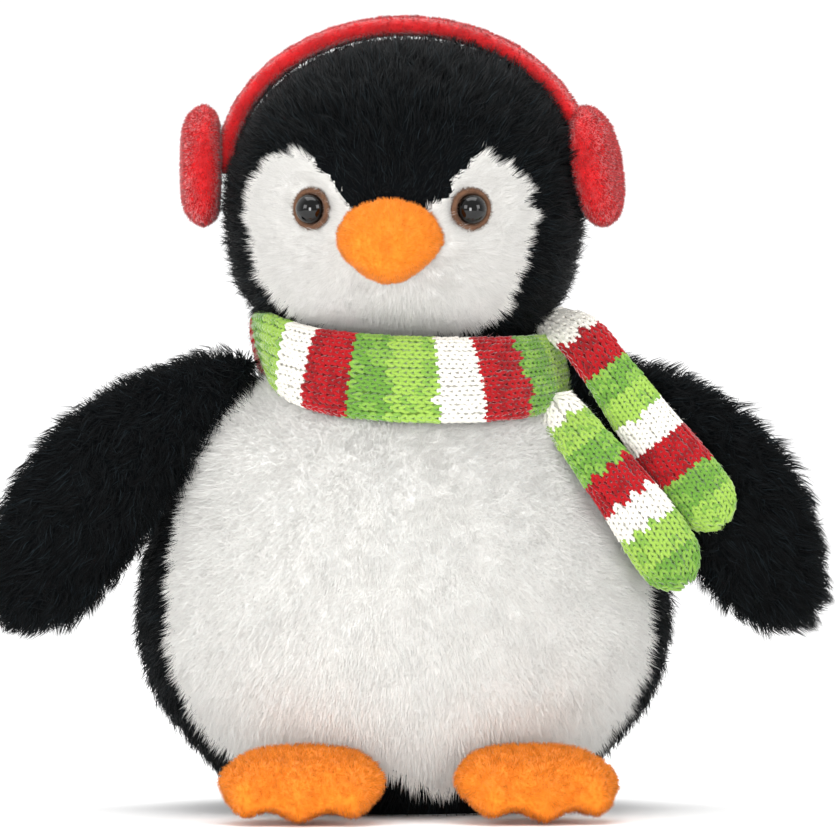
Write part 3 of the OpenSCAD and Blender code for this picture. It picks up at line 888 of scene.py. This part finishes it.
def build_earmuffs(settings):
    """Stuffed fleece cups and the flat head band."""
    fleece = cloth_material(
        "red_fleece", settings.fleece, 6 * MM, 0.6 * MM, bump=0.6, sheen=0.5, contrast=0.2
    )
    shades = fibre_shades(
        "fleece_fibre", settings.fleece, [0.75, 0.95, 1.1, 1.25], roughness=0.75, sheen=0.25, specular=0.2
    )
    jobs = [
        ("left_cup", "left_earmuff_cup", 8.0, 1.1 * MM),
        ("right_cup", "right_earmuff_cup", 8.0, 1.1 * MM),
        ("head_band", "earmuff_band", 5.0, 1.0 * MM),
    ]
    for seed, (word, node, density, length) in enumerate(jobs):
        nodes = [node]
        if word == "head_band":
            skin = joined_copy(f"{word}_skin", [node])
            apply_modifier(skin, "REMESH", mode="VOXEL", voxel_size=0.8 * MM)
            apply_modifier(skin, "DISPLACE", strength=0.9 * MM, mid_level=0.0)
        else:
            nodes.append(node.replace("cup", "filling"))
            skin = stuff(gathered(f"{word}_skin", [node], 1.1 * MM), 0.5 * MM)
        if word == "right_cup":
            lean_in(skin)
        soften(skin, 6, 0)
        skin.data.materials.append(fleece)
        join_body(skin, "earmuffs", "red_fleece", *nodes)
        nap = pile(
            f"{word}_nap", Roots(skin), shades, length, 0.24 * MM, density, towards(0, -0.3, -1),
            90 + seed, ruffle=1.0, soft=0.7, weights=[2, 4, 4, 2], **NAP,
        )
        join_body(nap, "earmuffs", "red_fleece")


# ---------- scarf ----------

# The body's outline under the scarf, as shares: height, then half width, belly depth and back depth
BODY_OUTLINE = [
    [0.6, 0.96, 0.95, 0.93],
    [0.8, 0.77, 0.79, 0.79],
    [0.92, 0.57, 0.61, 0.64],
    [1.0, 0.43, 0.46, 0.52],
]
BODY_SIZES = np.array([60, 50, 43]) * MM
BODY_HEIGHT = 101 * MM
COLLAR = np.array([30, 29.5]) * MM
BAND_WIDTH = 18.5 * MM
BAND_THICKNESS = 5 * MM
# Centre lines of the hanging ends: share of the way along, then x, y and z in millimetres
UPPER_TAIL = [
    [0, 31.5, -6, 112.5], [0.12, 38.5, -19, 109], [0.25, 44.5, -26, 101],
    [0.5, 53, -28.5, 89], [0.75, 62.3, -28.5, 77], [1, 71.2, -27, 65.7],
]
LOWER_TAIL = [
    [0, 32, -22.5, 94.5], [0.1, 35, -27, 90], [0.25, 39, -33, 84.5],
    [0.5, 46.5, -35, 75], [0.75, 54.5, -33, 64], [1, 62.5, -30, 52.3],
]
TAIL_WIDTH = 14.5 * MM
TAIL_THICKNESS = 6.5 * MM
TAIL_SIDE = unit(np.array([0.79, 0, 0.61]))


def through(rows, x):
    """Smooth values at x through rows that start with their own x."""
    rows = np.asarray(rows, float)
    places, values = rows[:, 0], rows[:, 1:]
    i = int(np.clip(np.searchsorted(places, x, side="right") - 1, 0, len(places) - 2))

    def slope(k):
        """Slope at row k, from its neighbours."""
        a, b = max(k - 1, 0), min(k + 1, len(places) - 1)
        return (values[b] - values[a]) / (places[b] - places[a])

    h = places[i + 1] - places[i]
    u = min(max((x - places[i]) / h, 0), 1)
    start, end = slope(i) * h, slope(i + 1) * h
    return (
        values[i] * (1 + 2 * u) * (1 - u) ** 2 + start * u * (1 - u) ** 2
        + values[i + 1] * u * u * (3 - 2 * u) + end * u * u * (u - 1)
    )


def band_section(angle):
    """Middle, up, out, half height of the neck band at an angle from the front towards +X."""
    pulled_up = 4.2 * math.exp(-((math.degrees(angle) % 360 - 280) / 30) ** 2)
    top = (109 - 1.5 * math.sin(angle) - 1.5 * abs(math.cos(angle)) + pulled_up) * MM
    bottom = top - BAND_WIDTH * (0.7 + 0.3 * max(0, math.cos(angle)))
    wide, belly, back = through(BODY_OUTLINE, min(bottom / BODY_HEIGHT, 1)) * BODY_SIZES
    depth = belly if math.cos(angle) > 0 else back
    grow = 0.4 * MM
    low = np.array([(wide + grow) * math.sin(angle), -(depth + grow) * math.cos(angle), bottom])
    high = np.array([COLLAR[0] * math.sin(angle), -COLLAR[1] * math.cos(angle), top])
    up = unit(high - low)
    out = np.cross(up, [-math.cos(angle), -math.sin(angle), 0])
    return (low + high) / 2, up, out, np.linalg.norm(high - low) / 2


def band_surface(along, round_):
    """Point on the neck band. round_ is 0 at the middle of its outside and 0.25 at its top edge."""
    angle = along * 2 * math.pi
    middle, up, out, half = band_section(angle)
    c, s = math.cos(round_ * 2 * math.pi), math.sin(round_ * 2 * math.pi)
    rise = half * math.copysign(abs(s) ** 0.75, s)
    stand = BAND_THICKNESS / 2 * (1 + math.copysign(abs(c) ** 0.8, c)) + 1.2 * MM
    return middle + up * rise + out * stand


def blunt(u, start):
    """Share of the full width at u: full up to start, then rounded off."""
    return 1.0 if u <= start else math.sqrt(max(0.0, 1 - ((u - start) / (1 - start)) ** 2))


def tail_surface(path):
    """Surface function of a hanging end."""
    def surface(along, round_):
        """Point on the hanging end. round_ goes once round it."""
        middle = through(path, along) * MM
        size = max(blunt(along, 0.85) * blunt(1 - along, 0.92), 0.12)
        widening = 0.62 + 0.38 * min(1, along / 0.75)
        angle = round_ * 2 * math.pi
        return (
            middle
            + TAIL_SIDE * TAIL_WIDTH / 2 * widening * size * math.sin(angle)
            - np.array([0, 1, 0]) * TAIL_THICKNESS / 2 * widening * size * math.cos(angle)
        )
    return surface


def leg_template():
    """One leg of a stitch and its radii: x in stitch widths, y in stitch heights, z as shares of its rise."""
    line = np.array([[0.05, -0.62, -0.5], [0.16, -0.25, 0.12], [0.33, 0.3, 0.22], [0.27, 0.72, -0.45]])
    radii = np.array([0.26, 0.5, 0.52, 0.28])
    return line, radii


def knit(name, surface, courses, around, reach, wale, colour_of, materials, seed, closed):
    """Stitches over a surface: courses along its reach, and wales round it between the two of around."""
    generator = np.random.default_rng(seed)
    line, radii = leg_template()
    sides = 5
    vertices, faces, slots, corner_counts = [], [], [], []
    total = 0
    for row in range(courses):
        along = reach[0] + (reach[1] - reach[0]) * (row + 0.5) / courses
        step = (reach[1] - reach[0]) / courses
        samples = np.linspace(around[0], around[1], 60)
        ring = np.array([surface(along, s) for s in samples])
        travel = np.concatenate([[0], np.cumsum(np.linalg.norm(np.diff(ring, axis=0), axis=1))])
        count = max(3, round(travel[-1] / wale))
        width = travel[-1] / count
        for stitch in range(count):
            place = np.interp((stitch + 0.5) * width, travel, samples)
            centre = surface(along, place)
            ahead = surface(along + step * 0.5 if closed else min(along + step * 0.5, 1), place)
            behind = surface(along - step * 0.5 if closed else max(along - step * 0.5, 0), place)
            forward = ahead - behind
            height = np.linalg.norm(forward)
            forward = forward / max(height, 1e-9)
            sideways = surface(along, place + 0.004) - surface(along, place - 0.004)
            sideways = unit(sideways - forward * (sideways @ forward))
            outward = np.cross(sideways, forward)
            wander = generator.normal(0, 0.05, 3)
            slot = colour_of(along, place, generator)
            for hand in (-1, 1):
                spine = (
                    centre
                    + np.outer(line[:, 0] * hand + wander[0], sideways) * width
                    + np.outer(line[:, 1] + wander[1], forward) * height
                    + np.outer(line[:, 2] * 0.55 * MM, outward)
                )
                tangents = unit(np.gradient(spine, axis=0))
                rest = unit(np.cross(tangents, outward))
                third = np.cross(rest, tangents)
                thickness = radii * width * 0.5 * (1 + wander[2])
                turns = np.arange(sides) * 2 * math.pi / sides
                tube = (
                    spine[:, None]
                    + rest[:, None] * np.cos(turns)[None, :, None] * thickness[:, None, None]
                    + third[:, None] * np.sin(turns)[None, :, None] * thickness[:, None, None] * 0.9
                )
                vertices.append(tube.reshape(-1, 3))
                here = []
                for k in range(len(line) - 1):
                    for j in range(sides):
                        n = (j + 1) % sides
                        a, b = total + k * sides + j, total + k * sides + n
                        here.append([a, a + sides, b + sides, b])
                for face in here:
                    faces += face
                    corner_counts.append(4)
                    slots.append(slot)
                faces += [total + j for j in range(sides)]
                faces += [total + (len(line) - 1) * sides + j for j in reversed(range(sides))]
                corner_counts += [sides, sides]
                slots += [slot, slot]
                total += len(line) * sides
    return face_outwards(
        object_from(name, np.concatenate(vertices), faces, corner_counts, slots, materials)
    )


def knit_core(name, surface, colour_of, materials, closed, inset):
    """Closed sleeve just under the stitches, striped like them, in the materials it is given."""
    rows, columns = (150, 24) if closed else (60, 24)
    ends = rows if closed else rows + 1
    points, generator = [], np.random.default_rng(5)
    for i in range(ends):
        along = i / rows
        ring = np.array([surface(along, j / columns) for j in range(columns)])
        middle = ring.mean(axis=0)
        points.append(ring + unit(middle - ring) * inset)
    points = np.concatenate(points)
    faces, sizes, slots = [], [], []
    for i in range(rows):
        for j in range(columns):
            n = (j + 1) % columns
            following = (i + 1) % ends
            faces += [i * columns + j, i * columns + n, following * columns + n, following * columns + j]
            sizes.append(4)
            slots.append(colour_of((i + 0.5) / rows, (j + 0.5) / columns, generator))
    if not closed:
        faces += list(range(columns))
        faces += [rows * columns + j for j in reversed(range(columns))]
        sizes += [columns, columns]
        slots += [slots[0], slots[-1]]
    return face_outwards(object_from(name, points, faces, sizes, slots, materials))


WHITE, RED, LIME, GREEN, MIDDLE_GREEN, DARK_RED = range(6)
# Stripes of the band: where each one ends, in degrees from the front towards +X, and its yarn
BAND_STRIPES = [
    (-150, WHITE), (-134, RED), (-118, GREEN), (-102, WHITE), (-86, RED), (-70, GREEN),
    (-53.6, LIME), (-38.7, WHITE), (-22.3, RED), (-8.5, GREEN), (7.2, LIME), (21.7, WHITE),
    (40, RED), (56, GREEN), (72, LIME), (88, WHITE), (104, RED), (120, GREEN),
    (136, WHITE), (152, RED), (168, GREEN), (181, LIME),
]
# Stripes of the hanging ends: the share of the way down where each one ends, and its yarn
UPPER_STRIPES = [
    (0.12, WHITE), (0.24, RED), (0.34, GREEN), (0.46, LIME),
    (0.59, WHITE), (0.74, RED), (0.87, GREEN), (1.1, LIME),
]
LOWER_STRIPES = [
    (0.1, WHITE), (0.25, LIME), (0.4, GREEN), (0.57, RED),
    (0.71, WHITE), (0.86, LIME), (1.1, GREEN),
]


def striped(stripes, scale, ragged):
    """Yarn at a place: stripes with ragged ends, and greens that run into each other."""
    def colour_of(along, place, generator):
        """Slot of the yarn at this place."""
        position = (along * scale + 180) % 360 - 180 if scale > 1 else along
        wobble = ragged * (math.sin(place * 57) * 0.6 + generator.normal(0, 0.35))
        for end, yarn in stripes:
            if position + wobble < end:
                break
        mixing = generator.random()
        if yarn == GREEN:
            return GREEN if mixing < 0.6 else MIDDLE_GREEN
        if yarn == LIME:
            return LIME if mixing < 0.8 else MIDDLE_GREEN
        if yarn == RED:
            return RED if mixing < 0.7 else DARK_RED
        return yarn
    return colour_of


def yarn_material(name, code):
    """Spun acrylic yarn: matt, with a soft sheen."""
    return fibre_material(name, code, roughness=0.85, sheen=0.5, specular=0.2)


def build_scarf(settings):
    """Knitted band and its two hanging ends, each as stitches over a core, with stray fibres."""
    codes = [
        settings.white, settings.red, settings.lime, settings.green, "#80AB46",
        shade(settings.red, 0.85),
    ]
    words = ["white", "red", "lime", "green", "middle_green", "dark_red"]
    yarns = [yarn_material(f"{w}_yarn", c) for w, c in zip(words, codes)]
    # The sleeve under the stitches takes copies of the yarns at 0.8 of their colour: painted shade for the
    # gaps between the stitches.
    shaded_cores = [yarn_material(f"{w}_yarn_painted_shade", shade(c, 0.8)) for w, c in zip(words, codes)]
    band = {
        "surface": band_surface,
        "colour_of": striped(BAND_STRIPES, 360, 1.0),
        "closed": True,
    }
    upper = {
        "surface": tail_surface(UPPER_TAIL),
        "colour_of": striped(UPPER_STRIPES, 1, 0.006),
        "closed": False,
    }
    lower = {
        "surface": tail_surface(LOWER_TAIL),
        "colour_of": striped(LOWER_STRIPES, 1, 0.007),
        "closed": False,
    }
    # Node, body, form, courses, part of the way round, part of the length, how it's held, cut size
    jobs = [
        ("scarf_wrap", "torso", band, 148, (-0.34, 0.34), (0, 1), "folded", (0.019, 0.2)),
        ("scarf_upper_tail", "upper_tail_body", upper, 46, (0, 1), (0, 0.995), "hung", (0.0145, 0.066)),
        ("scarf_lower_tail", "lower_tail_body", lower, 36, (0, 1), (0, 0.995), "hung", (0.0145, 0.053)),
    ]
    for seed, (node, body, form, courses, around, reach, held, flat) in enumerate(jobs):
        stitches = knit(
            f"{node}_stitches", courses=courses, around=around, reach=reach, wale=settings.wale,
            materials=yarns, seed=100 + seed, **form,
        )
        core = knit_core(f"{node}_core", materials=shaded_cores, inset=0.5 * MM, **form)
        fuzz = pile(
            f"{node}_fuzz", Roots(core), yarns, 2.2 * MM, 0.09 * MM, 0.45, towards(0.3, -0.2, -1),
            110 + seed, lean=25, droop=70, ruffle=1.5, patch=3 * MM, soft=0.6, sink=-0.2 * MM,
            weights=[1, 1, 1, 1, 1, 1],
        )
        paint_like(fuzz, core)
        join_body(stitches, body, "striped_knit", node)
        join_body(core, body, "striped_knit")
        join_body(fuzz, body, "striped_knit")


def paint_like(fuzz, core):
    """Gives each stray fibre the yarn of the core's face under it."""
    tree = kdtree.KDTree(len(core.data.polygons))
    for i, face in enumerate(core.data.polygons):
        tree.insert(face.center, i)
    tree.balance()
    points_each, faces_each = 7, 10
    slots = []
    for root in coordinates(fuzz)[::points_each]:
        near = tree.find(Vector(root))[1]
        slots += [core.data.polygons[near].material_index] * faces_each
    fuzz.data.polygons.foreach_set("material_index", np.array(slots, np.int32))


# ---------- inside ----------


def build_inside(settings):
    """Finishes for the pieces that the covers hide."""
    wadding = cloth_material("white_wadding", "#F0EDE4", 8 * MM, 1.2 * MM, bump=0.8, contrast=0.08)
    calico = cloth_material("unbleached_calico", "#D9D0BA", 6 * MM, 0.4 * MM, contrast=0.1)
    pellet = cloth_material(
        "pellet_polythene", "#D8D8D2", 5 * MM, 2 * MM, roughness=0.45, sheen=0.0, bump=0.1
    )
    washer = cloth_material(
        "washer_nylon", "#E8E8E4", 3 * MM, 1 * MM, roughness=0.4, sheen=0.0, bump=0.05
    )
    thread = cloth_material("black_thread", settings.black, 2 * MM, 0.2 * MM, bump=0.5)
    for node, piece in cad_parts.items():
        if node.endswith("filling") or node == "neck_plug":
            material = wadding
        elif node == "pellet_bag":
            material = calico
        elif node == "pellets":
            material = pellet
        elif node.endswith("washer"):
            material = washer
        elif node == "closing_stitches":
            material = thread
        else:
            continue
        piece.data.materials.clear()
        piece.data.materials.append(material)


def build_neck(settings):
    """Black neck of the cover, between the collar and the head."""
    bpy.ops.object.select_all(action="DESELECT")
    bpy.ops.mesh.primitive_uv_sphere_add(segments=48, ring_count=24, radius=1, location=(0, 0, 0))
    neck = bpy.context.active_object
    neck.name = "neck_cover"
    size = Matrix.Diagonal((25 * MM, 22 * MM, 9 * MM, 1))
    neck.data.transform(Matrix.Translation((0, 0, 101 * MM)) @ size)
    ground = cloth_material("black_neck_backing", settings.black, 9 * MM, 0.7 * MM, **BLACK_BACKING)
    neck.data.materials.append(ground)
    bpy.ops.object.shade_smooth()
    join_body(neck, "neck", "black_plush", "neck_plug")


# ---------- stage ----------


# Softboxes: name, place, width, height and power in watts
SOFTBOXES = [
    ("Key softbox", (-0.2, -1.0, 0.08), 0.28, 0.5, 6.3),
    ("Left softbox", (-0.8, -0.7, 0.45), 0.45, 0.45, 3.0),
    ("Right softbox", (0.8, -0.7, 0.45), 0.45, 0.45, 3.0),
    ("Top softbox", (0.0, 0.1, 1.0), 0.9, 0.9, 8.0),
]
PENGUIN_MIDDLE = Vector((0, 0, 0.09))
VIEW_CENTRE = Vector((3.7 * MM, 0, 88.7 * MM))
VIEW_WIDTH = 193 * MM
CAMERA_DISTANCE = 3.0
CAMERA_AZIMUTH = math.radians(-4)
CAMERA_ELEVATION = math.radians(2)
SENSOR_WIDTH = 36


def build_world():
    """White surroundings, brighter behind the penguin than in front of it."""
    world = bpy.data.worlds.new("Studio")
    world.use_nodes = True
    tree = world.node_tree
    ground = tree.nodes["Background"]
    ground.inputs["Color"].default_value = (1, 1, 1, 1)
    place = add_node(tree, "ShaderNodeTexCoord")
    parts = add_node(tree, "ShaderNodeSeparateXYZ", links={"Vector": (place, "Generated")})
    strength = add_node(
        tree,
        "ShaderNodeMapRange",
        values={"From Min": -0.3, "From Max": 0.3, "To Min": 0.55, "To Max": 1.1},
        links={"Value": (parts, "Y")},
    )
    tree.links.new(strength.outputs["Result"], ground.inputs["Strength"])
    bpy.context.scene.world = world


def build_floor():
    """Pale paper under the penguin."""
    bpy.ops.object.select_all(action="DESELECT")
    bpy.ops.mesh.primitive_plane_add(size=1.4, location=(0, 0, -0.0002))
    floor = bpy.context.active_object
    floor.name = "studio_floor"
    material, tree = new_material("pale_paper")
    shader = add_node(
        tree,
        "ShaderNodeBsdfPrincipled",
        values={"Base Color": (0.98, 0.98, 0.98, 1), "Roughness": 0.9},
    )
    finish_material(material, tree, shader)
    floor.data.materials.append(material)


def build_softbox(name, place, wide, tall, power):
    """One soft rectangular lamp, aimed at the penguin."""
    data = bpy.data.lights.new(name, "AREA")
    data.shape = "RECTANGLE"
    data.size = wide
    data.size_y = tall
    data.energy = power
    lamp = bpy.data.objects.new(name, data)
    lamp.location = place
    lamp.rotation_euler = (PENGUIN_MIDDLE - Vector(place)).to_track_quat("-Z", "Y").to_euler()
    bpy.context.collection.objects.link(lamp)


def build_camera():
    """Camera in front, a little towards the left wing and a little above."""
    data = bpy.data.cameras.new("Camera")
    camera = bpy.data.objects.new("Camera", data)
    bpy.context.collection.objects.link(camera)
    level = math.cos(CAMERA_ELEVATION)
    back = Vector((
        math.sin(CAMERA_AZIMUTH) * level,
        -math.cos(CAMERA_AZIMUTH) * level,
        math.sin(CAMERA_ELEVATION),
    ))
    camera.location = VIEW_CENTRE + back * CAMERA_DISTANCE
    camera.rotation_euler = (-back).to_track_quat("-Z", "Y").to_euler()
    data.sensor_width = SENSOR_WIDTH
    data.lens = SENSOR_WIDTH * CAMERA_DISTANCE / VIEW_WIDTH
    data.clip_start = 0.05
    bpy.context.scene.camera = camera


def build_stage():
    """Surroundings, floor, lamps and camera."""
    bpy.context.scene.view_settings.view_transform = "Standard"
    build_world()
    build_floor()
    for row in SOFTBOXES:
        build_softbox(*row)
    build_camera()


# ---------- operators ----------


class PENGUIN_OT_body(bpy.types.Operator):
    """Build the body: stuffed skin, white belly pile and black back pile."""

    bl_idname = "penguin.body"
    bl_label = "Body"

    def execute(self, context):
        build_body(context.scene.penguin_pile)
        build_neck(context.scene.penguin_pile)
        return {"FINISHED"}


class PENGUIN_OT_head(bpy.types.Operator):
    """Build the head: stuffed skin, white face and black crown."""

    bl_idname = "penguin.head"
    bl_label = "Head"

    def execute(self, context):
        build_head(context.scene.penguin_pile)
        return {"FINISHED"}


class PENGUIN_OT_eyes(bpy.types.Operator):
    """Finish the eyes and their felt rings."""

    bl_idname = "penguin.eyes"
    bl_label = "Eyes"

    def execute(self, context):
        build_eyes(context.scene.penguin_trim)
        return {"FINISHED"}


class PENGUIN_OT_beak_and_feet(bpy.types.Operator):
    """Build the orange beak and feet."""

    bl_idname = "penguin.beak_and_feet"
    bl_label = "Beak and feet"

    def execute(self, context):
        build_orange(context.scene.penguin_pile)
        return {"FINISHED"}


class PENGUIN_OT_wings(bpy.types.Operator):
    """Build both wings."""

    bl_idname = "penguin.wings"
    bl_label = "Wings"

    def execute(self, context):
        build_wings(context.scene.penguin_pile)
        return {"FINISHED"}


class PENGUIN_OT_earmuffs(bpy.types.Operator):
    """Build the fleece earmuffs and their head band."""

    bl_idname = "penguin.earmuffs"
    bl_label = "Earmuffs"

    def execute(self, context):
        build_earmuffs(context.scene.penguin_trim)
        return {"FINISHED"}


class PENGUIN_OT_scarf(bpy.types.Operator):
    """Knit the scarf's band and its two hanging ends."""

    bl_idname = "penguin.scarf"
    bl_label = "Scarf"

    def execute(self, context):
        build_scarf(context.scene.penguin_knit)
        return {"FINISHED"}


class PENGUIN_OT_inside(bpy.types.Operator):
    """Finish the stuffing, the pellet bag and the other inner pieces."""

    bl_idname = "penguin.inside"
    bl_label = "Inside"

    def execute(self, context):
        build_inside(context.scene.penguin_pile)
        return {"FINISHED"}


class PENGUIN_OT_stage(bpy.types.Operator):
    """Set the floor, the lights and the camera."""

    bl_idname = "penguin.stage"
    bl_label = "Stage"

    def execute(self, context):
        build_stage()
        return {"FINISHED"}


OPERATORS = [
    PENGUIN_OT_body, PENGUIN_OT_head, PENGUIN_OT_eyes, PENGUIN_OT_beak_and_feet, PENGUIN_OT_wings,
    PENGUIN_OT_earmuffs, PENGUIN_OT_scarf, PENGUIN_OT_inside, PENGUIN_OT_stage,
]


class PENGUIN_PT_panel(bpy.types.Panel):
    """Sidebar panel that lists the steps."""

    bl_idname = "PENGUIN_PT_panel"
    bl_label = "Plush penguin"
    bl_space_type = "VIEW_3D"
    bl_region_type = "UI"
    bl_category = "Penguin"

    def draw(self, context):
        for operator in OPERATORS:
            self.layout.operator(operator.bl_idname)


CLASSES = [PenguinPileSettings, PenguinKnitSettings, PenguinTrimSettings, *OPERATORS, PENGUIN_PT_panel]


def register():
    """Adds the add-on's settings, operators and panel."""
    for kind in CLASSES:
        bpy.utils.register_class(kind)
    bpy.types.Scene.penguin_pile = bpy.props.PointerProperty(type=PenguinPileSettings)
    bpy.types.Scene.penguin_knit = bpy.props.PointerProperty(type=PenguinKnitSettings)
    bpy.types.Scene.penguin_trim = bpy.props.PointerProperty(type=PenguinTrimSettings)


def unregister():
    """Removes what register added."""
    del bpy.types.Scene.penguin_trim
    del bpy.types.Scene.penguin_knit
    del bpy.types.Scene.penguin_pile
    for kind in reversed(CLASSES):
        bpy.utils.unregister_class(kind)


def main():
    """Builds the whole penguin."""
    register()
    for operator in OPERATORS:
        group, word = operator.bl_idname.split(".")
        getattr(getattr(bpy.ops, group), word)()


if __name__ == "__main__":
    main()
